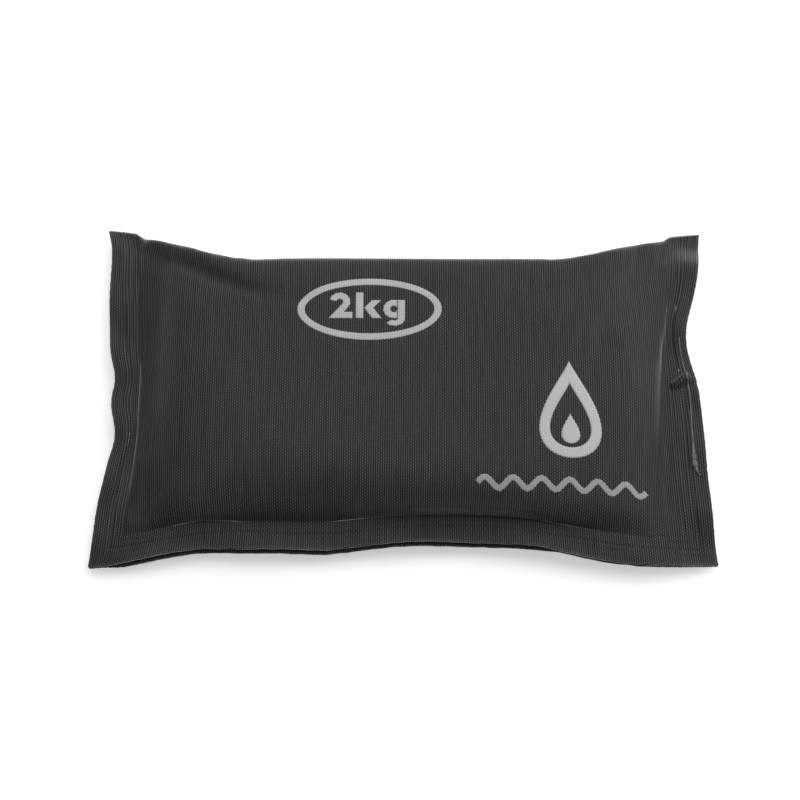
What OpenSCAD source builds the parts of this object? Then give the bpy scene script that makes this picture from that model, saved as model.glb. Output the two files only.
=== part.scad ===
// Soft dive weight: a pouch of coated woven nylon filled with lead shot.
// One sheet is folded over at the back and fused shut along the left, right and front
// sides. It lies on the plane z = 0, the fold towards +Y and the front seal towards -Y.

/* [Pouch] */
// Overall width, from a left corner to a right corner
pouch_w = 200; // [150:1:260]
// Overall depth, from the front corners to the back corners
pouch_d = 120; // [90:1:160]
// Height of the filled pouch as it lies
pouch_h = 24; // [18:0.5:34]
// Thickness of the coated fabric
fabric_t = 0.6; // [0.3:0.05:1.2]

/* [Seals] */
// Width of a fused band
seal_w = 5; // [3:0.5:8]
// Free fabric outside a fused band
margin_w = 5; // [2:0.5:8]
// Thickness of the fused coating between the two layers
seal_t = 0.3; // [0.1:0.05:0.6]
// Height of the seams above the ground
seam_h = 9; // [6:0.5:13]
// How far the two layers part at the front edge
lip_gap = 1.2; // [0:0.1:2.5]

/* [Filled shape] */
// How far the left side is drawn in between its corners
left_pull = 4.5; // [0:0.5:10]
// How far the right side is drawn in between its corners
right_pull = 5.5; // [0:0.5:10]
// How far the front edge is drawn in between its corners
front_pull = 4.5; // [0:0.5:10]
// How far the fold is drawn in between its corners
back_pull = 13; // [0:0.5:16]
// Place of the left side's waist, from the front (0) to the back (1)
left_waist = 0.4; // [0.3:0.02:0.7]
// Place of the right side's waist, from the front (0) to the back (1)
right_waist = 0.66; // [0.3:0.02:0.7]
// How squarely the filled body is crowned: 2 is a dome, 4 is nearly a block
crown = 3; // [2:0.1:4]
// Run over which the lower panel comes down to the ground
rest_run = 14; // [8:0.5:24]
// How far the corners hang below the seams
corner_drop = 4; // [0:0.5:4]
// Height of the waves in the free edges
edge_wave = 0.7; // [0:0.1:1]

/* [Lead shot] */
// Clearance between the shot and the cover above it
shot_gap = 0.3; // [0.1:0.05:1]
// Clearance under the shot where it lies on the cover
rest_gap = 0.15; // [0.05:0.05:0.3]
// How far the shot stays back from the seams, where no pellet fits
shot_inset = 3; // [2:0.5:6]
// How far it stays back from the fold
fold_inset = 1.2; // [0.5:0.1:3]

/* [Printed marks] */
// Thickness of the printed ink
ink_t = 0.08; // [0.04:0.01:0.2]
// Clearance between the ink and the faceted fabric under it
ink_gap = 0.05; // [0.01:0.01:0.1]
// Width of the oval ring
ring_w = 47; // [30:1:60]
// Depth of the oval ring
ring_d = 22.5; // [14:0.5:30]
// Width of the ring's line
ring_line = 2.4; // [1:0.1:4]
// Place of the ring's middle across the pouch
ring_x = -11; // [-30:1:30]
// Place of the ring's middle, in front of the fold
ring_back = 37; // [25:1:50]
// Height of the weight mark's figure
figure_h = 9.5; // [5:0.5:12]
// Height of the drop
drop_h = 33; // [20:1:40]
// Width of the drop
drop_w = 20; // [12:1:26]
// Length of the wave line
wave_l = 54; // [30:1:60]
// Height of the wave line
wave_h = 5; // [3:0.5:8]
// Width of the wave line's stroke
wave_line = 1.8; // [1:0.1:3]
// Distance from the right seam to the middle of the drop
drop_side = 37; // [12:1:60]
// Distance from the right seam to the middle of the wave line
wave_side = 40; // [32:1:60]
// Distance from the front seam to the middle of the drop
drop_front = 31; // [24:1:45]
// Distance from the front seam to the wave line
wave_front = 8; // [5:0.5:14]

/* [Bead] */
// Width of the bead of coating on the closing seal
bead_w = 0.7; // [0.4:0.1:1.5]
// Height of the bead
bead_h = 0.4; // [0.2:0.05:1]
// Width of the blob at the bead's end
blob_w = 2.4; // [1.5:0.1:4]
// Height of the blob
blob_h = 1; // [0.5:0.1:2]

/* [Hidden] */

body_cols = 36;
body_rows = 20;
half_w = pouch_w / 2;
flange_w = seal_w + margin_w;
body_half_w = half_w - flange_w;
front = -pouch_d / 2;
fold = pouch_d / 2 - fabric_t;
front_seam = front + flange_w;
body_mid = (front_seam + fold) / 2;
body_half_d = (fold - front_seam) / 2;
crown_h = pouch_h - fabric_t - seam_h - seal_t / 2;
ramp = 0.45;       // share of a half edge over which the pull eases in from a corner
corner_reach = 0.3;  // share of a half side that a corner's droop reaches
wave_len = 43;     // length of one wave of the free edges
tiny = 0.05;       // step for finding a surface's slope

fabric_colour = [0.17, 0.17, 0.18];
seal_colour = [0.1, 0.1, 0.11];
shot_colour = [0.42, 0.43, 0.45];
ink_colour = [0.62, 0.62, 0.62];

// ---- small helpers ----
function limit(s) = max(0, min(1, s));
function ease(s) = let (c = limit(s)) c * c * (3 - 2 * c);
function mix(a, b, s) = a + (b - a) * s;
function unit(v) = v / norm(v);

// ---- the filled shape ----
// A place on the pouch is (p, q): p across and q from front to back on the pouch as it
// was before filling, so the panels are (p, q) rectangles and the shape is what moves.

// 1 along the middle of an edge and 0 at its corners; t runs from -1 to 1
function drawn(t, run) = ease((1 - abs(t)) / run);

// A hump from 0 at both ends to 1 at the waist
function hump(s, waist) = sin(180 * pow(limit(s), ln(0.5) / ln(waist)));

function along(q) = (q - front) / (fold - front);
function across(p) = p / half_w;

function plan_x(p, q) =
    let (reach = pow(min(1, abs(p) / body_half_w), 2))
    p < 0
        ? p + left_pull * hump(along(q), left_waist) * reach
        : p - right_pull * hump(along(q), right_waist) * reach;

function plan_y(p, q) =
    let (pull = drawn(across(p), ramp))
    let (to_front = pow(limit((body_mid - q) / body_half_d), 2))
    let (to_back = pow(limit((q - body_mid) / body_half_d), 2))
    q + front_pull * pull * to_front - back_pull * pull * to_back;

// How far outside the seams a place is: 0 on a seam, 1 on the free edge
function outside(p, q) =
    limit(max((abs(p) - body_half_w) / flange_w, (front_seam - q) / flange_w));

function seam_z(p, q) =
    let (end_p = 1 - drawn(across(p), corner_reach))
    let (end_q = 1 - drawn(2 * along(q) - 1, corner_reach))
    let (wave = sin(360 * (p + 2 * q) / wave_len))
    seam_h - corner_drop * end_p * end_q + edge_wave * outside(p, q) * wave;

// Height of the crown over the seams, as a share of the whole crown
function crown_share(p, q) =
    let (side = limit(abs(p) / body_half_w))
    let (end = limit(abs(q - body_mid) / body_half_d))
    sqrt((1 - pow(side, crown)) * (1 - pow(end, crown)));

// How far the lower panel has come down to the ground: 0 on a seam, 1 where it rests
function rest_share(p, q) =
    let (side = limit((body_half_w - abs(p)) / rest_run))
    let (near = limit((q - front_seam) / rest_run))
    let (far = limit((fold - q) / rest_run))
    (1 - pow(1 - side, 2)) * (1 - pow(1 - near, 2)) * sqrt(1 - pow(1 - far, 2));

// The inside faces of the two panels
function upper_in(p, q) = [
    plan_x(p, q),
    plan_y(p, q),
    seam_z(p, q) + seal_t / 2 + crown_h * crown_share(p, q)
];
function lower_in(p, q) =
    let (seam = seam_z(p, q) - seal_t / 2)
    let (lip = lip_gap * outside_front(q) * drawn(across(p), corner_reach))
    [plan_x(p, q), plan_y(p, q) - lip, mix(seam, fabric_t, rest_share(p, q)) - lip];

// 1 on the front edge and 0 from the fused band inwards
function outside_front(q) = limit((front + margin_w - q) / margin_w);

function panel(upper, p, q) = upper ? upper_in(p, q) : lower_in(p, q);

// Outward direction of a panel's face
function facing(upper, p, q) =
    let (q_back = min(q + tiny, fold))
    let (dp = panel(upper, p + tiny, q) - panel(upper, p - tiny, q))
    let (dq = panel(upper, p, q_back) - panel(upper, p, q - tiny))
    unit(upper ? cross(dp, dq) : cross(dq, dp));

// The outside face, which stands one thickness behind the inside face at the fold
function panel_out(upper, p, q) =
    let (n = facing(upper, p, q))
    let (squared = fold - q < tiny ? [0, fabric_t * (1 - n.y), 0] : [0, 0, 0])
    panel(upper, p, q) + fabric_t * n + squared;

// A place a little above the upper panel's outside
function above(p, q, lift) = upper_in(p, q) + (fabric_t + lift) * facing(true, p, q);

// ---- stations, closer together where the shape turns ----
function spread(i, n) = mix(2 * i / n - 1, -cos(180 * i / n), 0.6);
cols = concat(
    [-half_w, -half_w + margin_w],
    [for (i = [0 : body_cols]) body_half_w * spread(i, body_cols)],
    [half_w - margin_w, half_w]
);
rows = concat(
    [front, front + margin_w],
    [for (i = [0 : body_rows]) body_mid + body_half_d * spread(i, body_rows)]
);
last_col = len(cols) - 1;
last_row = len(rows) - 1;
seam_col = 2;
seam_row = 2;

// ---- building ----
// A closed solid between two matrices of points with the same rows and columns.
// crossed turns the lower face's diagonals, to match a panel that was folded over.
// loop joins the last row to the first.
module slab(top, bottom, crossed = false, loop = false) {
    n = len(top);
    m = len(top[0]);
    steps = loop ? n - 1 : n - 2;
    points = concat([for (row = top) each row], [for (row = bottom) each row]);
    function at(side, r, c) = side * n * m + (r % n) * m + c;
    function cell(side, r, c, turn) =
        let (a = at(side, r, c), b = at(side, r, c + 1))
        let (d = at(side, r + 1, c), e = at(side, r + 1, c + 1))
        turn ? [[a, b, d], [b, e, d]] : [[a, b, e], [a, e, d]];
    function flipped(tris) = [for (t = tris) [t[0], t[2], t[1]]];
    function wall(a, b, d, e) = [[a, b, d], [b, e, d]];
    upper_faces = [for (r = [0 : steps], c = [0 : m - 2]) each flipped(cell(0, r, c, false))];
    lower_faces = [for (r = [0 : steps], c = [0 : m - 2]) each cell(1, r, c, crossed)];
    side_faces = [for (r = [0 : steps]) each concat(
        wall(at(0, r, 0), at(1, r, 0), at(0, r + 1, 0), at(1, r + 1, 0)),
        flipped(wall(at(0, r, m - 1), at(1, r, m - 1), at(0, r + 1, m - 1), at(1, r + 1, m - 1)))
    )];
    end_faces = loop ? [] : [for (c = [0 : m - 2]) each concat(
        flipped(wall(at(0, 0, c), at(1, 0, c), at(0, 0, c + 1), at(1, 0, c + 1))),
        wall(at(0, n - 1, c), at(1, n - 1, c), at(0, n - 1, c + 1), at(1, n - 1, c + 1))
    )];
    polyhedron(points, concat(upper_faces, lower_faces, side_faces, end_faces));
}

function grid(ps, qs) = [for (q = qs) [for (p = ps) [p, q]]];
function on_panel_in(upper, places) =
    [for (row = places) [for (at = row) panel(upper, at.x, at.y)]];
function on_panel_out(upper, places) =
    [for (row = places) [for (at = row) panel_out(upper, at.x, at.y)]];
function lifted(places, lift) =
    [for (row = places) [for (at = row) above(at.x, at.y, lift)]];
function reversed(list) = [for (i = [len(list) - 1 : -1 : 0]) list[i]];
function part_of(list, first, last) = [for (i = [first : last]) list[i]];

// ---- the sheet and its seals ----
module cover() {
    places = grid(cols, rows);
    outer = concat(on_panel_out(true, places), reversed(on_panel_out(false, places)));
    inner = concat(on_panel_in(true, places), reversed(on_panel_in(false, places)));
    // the space above the ground trims the resting face to one true plane
    color(fabric_colour)
        intersection() {
            slab(outer, inner);
            translate([-pouch_w, -pouch_d, 0]) cube([2 * pouch_w, 2 * pouch_d, 2 * pouch_h]);
        }
}

// A fused band fills the gap between the two layers, face to face with both
module band(first_col, end_col, first_row, end_row) {
    places = grid(part_of(cols, first_col, end_col), part_of(rows, first_row, end_row));
    color(seal_colour)
        slab(on_panel_in(true, places), on_panel_in(false, places), crossed = true);
}

module left_seal() {
    band(1, seam_col, seam_row, last_row);
}

module right_seal() {
    band(last_col - seam_col, last_col - 1, seam_row, last_row);
}

module front_seal() {
    band(1, last_col - 1, 1, seam_row);
}

// ---- the filling ----
shot_cols = 26;
shot_rows = 16;

// Packed shot, nearest the cover where it rests on the lower panel
module lead_shot() {
    reach_p = body_half_w - shot_inset;
    low_q = front_seam + shot_inset;
    high_q = fold - fold_inset;
    ps = [for (i = [0 : shot_cols]) reach_p * spread(i, shot_cols)];
    qs = [for (i = [0 : shot_rows]) mix(low_q, high_q, (1 + spread(i, shot_rows)) / 2)];
    places = grid(ps, qs);
    top = [for (row = places) [for (at = row)
        upper_in(at.x, at.y) - shot_gap * facing(true, at.x, at.y)]];
    bottom = [for (row = places) [for (at = row)
        let (held = mix(shot_gap, rest_gap, rest_share(at.x, at.y)))
        lower_in(at.x, at.y) - held * facing(false, at.x, at.y)]];
    color(shot_colour) slab(top, bottom);
}

// ---- the printed marks ----
// Ink lies on the upper panel as a film; places is a matrix of (p, q)
module ink(places, loop = false) {
    color(ink_colour)
        slab(lifted(places, ink_gap + ink_t), lifted(places, ink_gap), loop = loop);
}

// The direction of a line of points at point i, lengthened at a corner to keep its width
function turn(path, i) =
    let (last = len(path) - 1)
    let (before = unit(path[max(i, 1)] - path[max(i, 1) - 1]))
    let (after = unit(path[min(i, last - 1) + 1] - path[min(i, last - 1)]))
    let (middle = unit(before + after))
    middle / (middle * after);

// A stroke of constant width along a line of points
function stroke(path, width) = [for (i = [0 : len(path) - 1])
    let (d = turn(path, i) * width / 2)
    [path[i] - [d.y, -d.x], path[i] + [d.y, -d.x]]];

function placed(places, middle) = [for (row = places) [for (at = row) at + middle]];

ring_middle = [ring_x, fold - ring_back];
ring_steps = 60;
module weight_ring() {
    function oval(a, inset) = [(ring_w / 2 - inset) * sin(a), (ring_d / 2 - inset) * cos(a)];
    places = [for (i = [0 : ring_steps - 1])
        let (a = 360 * i / ring_steps) [oval(a, 0), oval(a, ring_line)]];
    ink(placed(places, ring_middle), loop = true);
}

// The weight mark is a plain figure and unit in stencil pieces, for a height of 1
mark_line = 0.24;
mark_middle = [1.4, 0.36];
curve_steps = 14;
hook_steps = 9;
function arc(middle, radii, from, to, steps) = [for (i = [0 : steps])
    let (a = mix(from, to, i / steps)) middle + [radii.x * cos(a), radii.y * sin(a)]];

// Rows across a shape, from the lines along its two sides
function between(left, right) = [for (i = [0 : len(left) - 1]) [left[i], right[i]]];

function figure_two() = [
    stroke(concat(arc([0.38, 0.64], [0.24, 0.24], 165, -40, curve_steps),
        [[0.26, 0.12], [0.82, 0.12]]), mark_line)
];
function letter_k() = [
    [[[0, 0], [0.26, 0]], [[0, 0.5], [0.26, 0.5]], [[0, 1], [0.26, 1]]],
    [[[0.56, 0], [0.88, 0]], [[0.29, 0.4], [0.6, 0.4]], [[0.55, 0.7], [0.86, 0.7]]]
];
function letter_g() = [
    between(arc([0.36, 0.355], [0.12, 0.13], 24, 336, curve_steps),
        arc([0.36, 0.355], [0.36, 0.355], 72, 288, curve_steps)),
    concat([[[0.74, 0.7], [0.49, 0.7]]],
        between(arc([0.38, 0], [0.36, 0.29], 0, -140, hook_steps),
            arc([0.38, 0], [0.11, 0.09], 0, -140, hook_steps)))
];

module weight_mark() {
    shapes = concat(
        figure_two(),
        placed_at(letter_k(), [0.93, 0]),
        placed_at(letter_g(), [1.87, 0])
    );
    for (shape = shapes)
        ink([for (row = shape) [for (at = row) (at - mark_middle) * figure_h + ring_middle]]);
}

function placed_at(shapes, by) = [for (shape = shapes) placed(shape, by)];

// A hollow drop with a small drop in it
drop_steps = 36;
drop_line = 3.4;
drop_fullness = 1.5;
drop_widest = 0.702;  // of sin(a) * sin(a / 2) ^ drop_fullness
function drop_at(a, w, h) = [
    w / 2 * sin(a) * pow(abs(sin(a / 2)), drop_fullness) / drop_widest,
    h / 2 * cos(a)
];

module drop_mark() {
    middle = [body_half_w - drop_side, front_seam + drop_front];
    low = [0, -drop_h / 2];
    hollow = 1 - 2 * drop_line / drop_w;
    outline = [for (i = [0 : drop_steps - 1])
        let (a = 360 * i / drop_steps)
        let (inner = drop_at(a, drop_w * hollow, drop_h * hollow))
        [drop_at(a, drop_w, drop_h), inner + [0, -drop_h * (1 - hollow) / 2 + drop_line]]];
    ink(placed(outline, middle), loop = true);
    core_w = drop_w * 0.3;
    core_h = drop_h * 0.3;
    core = [for (i = [1 : drop_steps / 3])
        let (at = drop_at(180 - 175 * i / (drop_steps / 3), core_w, core_h))
        [for (side = [-1, 0, 1]) [side * at.x, at.y]]];
    ink(placed(core, middle + low + [0, drop_line * 1.4 + core_h / 2]));
}

wave_turns = 6;
wave_steps = 72;
module wave_mark() {
    middle = [body_half_w - wave_side, front_seam + wave_front];
    rise = (wave_h - wave_line) / 2;
    path = [for (i = [0 : wave_steps])
        let (s = i / wave_steps)
        [wave_l * (s - 0.5), rise * sin(360 * wave_turns * s)]];
    ink(placed(stroke(path, wave_line), middle));
}

// ---- the bead of coating on the closing seal ----
// Places as [distance in from the right edge, distance behind the pouch's middle],
// then how much of a blob the bead is there
bead_route = [
    [[2.6, 18], 0], [[3, 7], 0], [[3.3, -3.5], 0], [[3.8, -14], 0], [[3.9, -21], 0],
    [[4.1, -24], 0.9], [[4, -27], 1], [[3.6, -29], 0.4], [[2.8, -30.5], 0], [[2.2, -30.6], 0]
];
bead_edge = 0.05;  // height of the bead's own edge

module seal_bead() {
    path = [for (stop = bead_route) [half_w - stop[0].x, stop[0].y]];
    function row(i, raised) =
        let (blob = bead_route[i][1])
        let (w = mix(bead_w, blob_w, blob), h = mix(bead_h, blob_h, blob))
        let (d = turn(path, i) * w / 2)
        [for (side = [-1, -0.5, 0, 0.5, 1])
            let (at = path[i] + side * [d.y, -d.x])
            above(at.x, at.y, raised ? bead_edge + h * (1 - side * side) : ink_gap)];
    stops = [0 : len(path) - 1];
    color(fabric_colour)
        slab([for (i = stops) row(i, true)], [for (i = stops) row(i, false)]);
}

cover();
left_seal();
right_seal();
front_seal();
seal_bead();
lead_shot();
weight_ring();
weight_mark();
drop_mark();
wave_mark();
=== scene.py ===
import math
import random
import bmesh
import bpy
import numpy as np
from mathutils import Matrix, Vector
from mathutils.bvhtree import BVHTree


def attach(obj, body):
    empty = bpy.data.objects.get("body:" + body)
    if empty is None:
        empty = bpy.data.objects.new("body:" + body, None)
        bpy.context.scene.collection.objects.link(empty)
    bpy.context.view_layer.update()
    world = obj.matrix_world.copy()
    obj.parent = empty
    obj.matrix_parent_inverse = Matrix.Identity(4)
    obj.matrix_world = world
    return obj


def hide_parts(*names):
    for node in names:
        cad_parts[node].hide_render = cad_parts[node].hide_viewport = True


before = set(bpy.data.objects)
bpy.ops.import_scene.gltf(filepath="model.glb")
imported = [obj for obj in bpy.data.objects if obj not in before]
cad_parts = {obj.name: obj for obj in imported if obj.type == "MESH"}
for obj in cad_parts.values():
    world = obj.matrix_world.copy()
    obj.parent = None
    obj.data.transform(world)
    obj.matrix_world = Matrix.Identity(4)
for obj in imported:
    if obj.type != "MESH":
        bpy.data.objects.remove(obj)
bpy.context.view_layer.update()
print("frame loaded")

mm = 0.001

# the pouch as it is cut, sealed and filled, in metres
pouch = {
    "width": 200 * mm,
    "depth": 120 * mm,  # of one panel, front edge to fold
    "fabric": 0.6 * mm,
    "margin": 5 * mm,  # free fabric outside a fused band
    "band": 5 * mm,
    "bandThick": 0.3 * mm,
    "seamHeight": 9 * mm,
    "leftPull": 4.0 * mm,  # how far filling draws each side in at its middle
    "rightPull": 3.0 * mm,
    # narrow pinches in the side edges: place from front to back, reach, depth in mm
    "leftPinches": ((0.36, 0.08, 3.2), (0.53, 0.06, 2.0), (0.93, 0.1, 1.5), (0.24, 0.06, 1.0)),
    "rightPinches": ((0.655, 0.13, 4.3),),
    "pinchReach": 1.6,  # in flange widths
    "waistCurve": 0.8,
    "backPull": 13 * mm,
    "backEase": 0.45,  # share of half the width over which the fold turns in
    "cornerDrop": 4 * mm,
    "cornerEase": 0.3,
    "backRightDrop": 3 * mm,  # more than the other corners
    "edgeWave": 0.7 * mm,
    "waveLength": 43 * mm,
    # how the front edge swings in and out: middle, half length, depth in mm
    "frontHumps": ((14, 64, 5.9), (-62, 38, 3.7), (72, 32, -1.9), (-86, 22, -1.9)),
    "humpCurve": 1.2,
    # lines pressed along the welds: place out from the seam, half width, height in mm
    "sealGrooves": ((0.3, 0.4, -0.22), (1.3, 0.4, 0.08), (3.6, 0.35, 0.18), (4.5, 0.4, -0.2),
                    (5.4, 0.4, 0.22)),
    "grooveWander": 0.35 * mm,
}
flange = pouch["margin"] + pouch["band"]
halfWidth = pouch["width"] / 2
halfDepth = pouch["depth"] / 2


# 0 to 1 with a soft start and end
def smooth(x):
    x = np.clip(x, 0, 1)
    return x * x * (3 - 2 * x)


# where a place on the flat panel goes once the pouch is filled: only the sealed edge is held there
def heldEdge(x, y):
    p = pouch
    along = (y + halfDepth) / pouch["depth"]
    reach = np.minimum(1, abs(x) / (halfWidth - flange)) ** 2
    toFront = np.clip(-y / (halfDepth - flange), 0, 1) ** 2
    middle = smooth((1 - abs(x) / halfWidth) / p["backEase"])
    waist = np.sin(np.pi * np.clip(along, 0, 1)) ** p["waistCurve"]
    pinchReach = p["pinchReach"] * flange
    atEdge = smooth((abs(x) - halfWidth + pinchReach) / pinchReach)
    pull = 0
    for side, most, pinches in ((-1, "leftPull", "leftPinches"), (1, "rightPull", "rightPinches")):
        narrow = sum(deep * mm * np.exp(-((along - at) / wide) ** 2) for at, wide, deep in p[pinches])
        pull = pull - side * (x * side > 0) * (p[most] * waist * reach + narrow * atEdge)
    newX = x + pull
    toBack = np.clip((y - flange / 2) / (halfDepth - flange / 2), 0, 1) ** 2
    front = 0
    for at, reachX, deep in p["frontHumps"]:
        away = np.clip(abs(x / mm - at) / reachX, 0, 1)
        front = front + deep * mm * np.cos(away * math.pi / 2) ** p["humpCurve"]
    newY = y + front * toFront - p["backPull"] * middle * toBack
    outside = np.clip(np.maximum((abs(x) - (halfWidth - flange)) / flange,
                                 (-y - (halfDepth - flange)) / flange), 0, 1)
    endX = 1 - smooth((1 - abs(x) / halfWidth) / p["cornerEase"])
    endY = 1 - smooth((1 - abs(2 * along - 1)) / p["cornerEase"])
    wave = np.sin(2 * np.pi * (x + 2 * y) / p["waveLength"])
    drop = p["cornerDrop"] + p["backRightDrop"] * (x > 0) * (y > 0)
    z = p["seamHeight"] - drop * endX * endY + p["edgeWave"] * outside * wave
    return newX, newY, z


# how the filled pouch is simulated: ten times full size, which the solver likes better
fill = {
    "cell": 2.5 * mm,
    "grow": 10.0,
    "volume": 345e-6,  # cubic metres inside the cloth
    "frames": 50,
    "drawInFrames": 14,  # the boards wait till then
    "pressFrames": 34,
    "height": 24 * mm,  # of the lid at its middle
    "endCrown": 6 * mm,  # how much lower the lid is at its ends and sides
    "sideCrown": 16 * mm,
    "lidStart": 6 * mm,
    "backIn": 17.6 * mm,  # how far the back board bulges in
    "backStart": 14 * mm,
    "boardAcross": 41,
    "boardDeep": 25,
    "firstRise": 4 * mm,  # how far the layers stand apart before filling
    "stretch": 80.0,
    "shear": 30.0,
    "bend": 0.7,
    "damping": 10,
    "pressureFactor": 150.0,
    "fluid": 1.0,
}


# boards that the filled pouch is patted square between: it lies on one, the others move in
def pressBoard(side):
    across, deep = fill["boardAcross"], fill["boardDeep"]
    s = np.linspace(-1, 1, across)[None, :].repeat(deep, 0)
    t = np.linspace(-1, 1, deep)[:, None].repeat(across, 1)
    if side == "back":
        x = s * halfWidth
        y = halfDepth - fill["backIn"] * smooth((1 - abs(s)) / 0.5)
        z = (t + 0.7) * 2 * pouch["seamHeight"]
        start = (0, fill["backStart"], 0)
    else:
        x, y = s * 1.6 * halfWidth, t * 1.8 * halfDepth
        z = np.zeros(x.shape)
        start = (0, 0, 0)
    if side == "lid":
        ends, sides = (x / halfWidth) ** 4, (y / halfDepth) ** 4
        z = fill["height"] - fill["endCrown"] * ends - fill["sideCrown"] * sides
        start = (0, 0, fill["lidStart"])
    points = np.stack([x, y, z], -1).reshape(-1, 3) * fill["grow"]
    faces = []
    for j in range(deep - 1):
        for i in range(across - 1):
            a = j * across + i
            quad = [a, a + 1, a + across + 1, a + across]
            faces.append(quad[::-1] if side == "lid" else quad)
    mesh = bpy.data.meshes.new(side + "BoardMesh")
    mesh.from_pydata(points.tolist(), [], faces)
    board = bpy.data.objects.new(side + "Board", mesh)
    bpy.context.scene.collection.objects.link(board)
    board.location = [v * fill["grow"] for v in start]
    board.keyframe_insert("location", frame=fill["drawInFrames"])
    board.location = (0, 0, 0)
    board.keyframe_insert("location", frame=fill["pressFrames"])
    board.modifiers.new("Collision", "COLLISION")
    board.collision.thickness_outer = 0.003
    board.collision.cloth_friction = 5 if side == "ground" else 0
    return board


# two flat layers joined at the fold and along one shared sealed edge, blown up like a cushion
def fillPouch():
    cell, grow = fill["cell"], fill["grow"]
    columns, rowCount = round(pouch["width"] / cell), round(pouch["depth"] / cell)
    rim = round(flange / cell)
    x = (np.arange(columns + 1) * cell - halfWidth)[None, :].repeat(rowCount + 1, 0)
    y = (np.arange(rowCount + 1) * cell - halfDepth)[:, None].repeat(columns + 1, 1)
    across = np.clip((np.arange(columns + 1) - rim) / (columns - 2 * rim), 0, 1)[None, :]
    along = np.clip((np.arange(rowCount + 1) - rim) / (rowCount - rim), 0, 1)[:, None]
    rise = fill["firstRise"] * np.sqrt(np.clip(np.sin(np.pi * across) * np.sin(np.pi * along), 0, 1))
    inside = np.zeros(x.shape, bool)
    inside[rim + 1:-1, rim + 1:-rim - 1] = True
    upper = np.arange(x.size).reshape(x.shape)
    lower = upper.copy()
    lower[inside] = x.size + np.arange(inside.sum())
    z = np.full(x.shape, pouch["seamHeight"])
    flat = np.concatenate([np.stack([x, y, z + rise * inside], -1).reshape(-1, 3),
                           np.stack([x, y, z - rise], -1)[inside]])
    faces = []
    for layer, turn in ((upper, False), (lower, True)):
        for j in range(rowCount):
            for i in range(columns):
                if turn and (j < rim or i < rim or i >= columns - rim):
                    continue
                quad = [layer[j, i], layer[j, i + 1], layer[j + 1, i + 1], layer[j + 1, i]]
                faces.append([int(v) for v in (quad[::-1] if turn else quad)])
    mesh = bpy.data.meshes.new("fillMesh")
    mesh.from_pydata((flat * grow).tolist(), [], faces)
    cloth = bpy.data.objects.new("fillCloth", mesh)
    bpy.context.scene.collection.objects.link(cloth)

    # the sealed edge is drawn in by a shape key while the body fills
    cloth.shape_key_add(name="flat")
    key = cloth.shape_key_add(name="drawnIn")
    target = flat.copy()
    hx, hy, hz = heldEdge(flat[:, 0], flat[:, 1])
    target[:, 0], target[:, 1] = hx, hy
    target[:, 2] = flat[:, 2] + hz - pouch["seamHeight"]
    key.data.foreach_set("co", (target * grow).ravel())
    key.value = 0.0
    key.keyframe_insert("value", frame=1)
    key.value = 1.0
    key.keyframe_insert("value", frame=fill["drawInFrames"])

    held = np.zeros(x.shape, bool)
    held[:rim + 1, :] = True
    held[:, :rim + 1] = True
    held[:, -rim - 1:] = True
    pins = cloth.vertex_groups.new(name="sealed")
    pins.add([int(v) for v in upper[held]], 1.0, "REPLACE")
    filled = cloth.vertex_groups.new(name="filled")
    body = (slice(rim, None), slice(rim, columns - rim + 1))
    filled.add([int(v) for v in set(upper[body].ravel()) | set(lower[body].ravel())], 1.0, "REPLACE")

    boards = [pressBoard(side) for side in ("ground", "lid", "back")]

    modifier = cloth.modifiers.new("Cloth", "CLOTH")
    settings = modifier.settings
    settings.quality = 8
    settings.mass = 0.1
    settings.air_damping = 3.0
    settings.tension_stiffness = fill["stretch"]
    settings.compression_stiffness = fill["stretch"]
    settings.shear_stiffness = fill["shear"]
    settings.bending_stiffness = fill["bend"]
    settings.tension_damping = fill["damping"]
    settings.compression_damping = fill["damping"]
    settings.shear_damping = fill["damping"]
    settings.bending_damping = 1
    settings.vertex_group_mass = "sealed"
    settings.pin_stiffness = 1
    settings.use_pressure = True
    settings.uniform_pressure_force = 0
    settings.use_pressure_volume = True
    settings.target_volume = fill["volume"] * grow ** 3
    settings.pressure_factor = fill["pressureFactor"]
    settings.fluid_density = fill["fluid"]
    settings.vertex_group_pressure = "filled"
    collisions = modifier.collision_settings
    collisions.distance_min = 0.003
    collisions.collision_quality = 3
    collisions.friction = 5
    modifier.point_cache.frame_start = 1
    modifier.point_cache.frame_end = fill["frames"]
    for step in range(1, fill["frames"] + 1):
        bpy.context.scene.frame_set(step)
    result = cloth.evaluated_get(bpy.context.evaluated_depsgraph_get())
    shape = np.empty(len(flat) * 3, np.float32)
    result.data.vertices.foreach_get("co", shape)
    shape = shape.reshape(-1, 3).astype(float) / grow
    bpy.context.scene.frame_set(1)
    for piece in [cloth] + boards:
        bpy.data.objects.remove(piece)
    return shape[upper], shape[lower]


# weights of a cubic B-spline that starts and ends on its end points
def cubicWeights(places, count):
    weights = np.zeros((len(places), count + 2))
    first = np.clip(np.floor(places).astype(int), 0, count - 2)
    f = places - first
    parts = ((1 - f) ** 3, 3 * f ** 3 - 6 * f ** 2 + 4, -3 * f ** 3 + 3 * f ** 2 + 3 * f + 1, f ** 3)
    for step, part in enumerate(parts):
        weights[np.arange(len(places)), first + step] += part / 6
    result = weights[:, 1:-1].copy()
    for ghost, near, far in ((0, 0, 1), (-1, -1, -2)):
        result[:, near] += 2 * weights[:, ghost]
        result[:, far] -= weights[:, ghost]
    return result


upperGrid, lowerGrid = fillPouch()
print("pouch filled and patted square")

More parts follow.
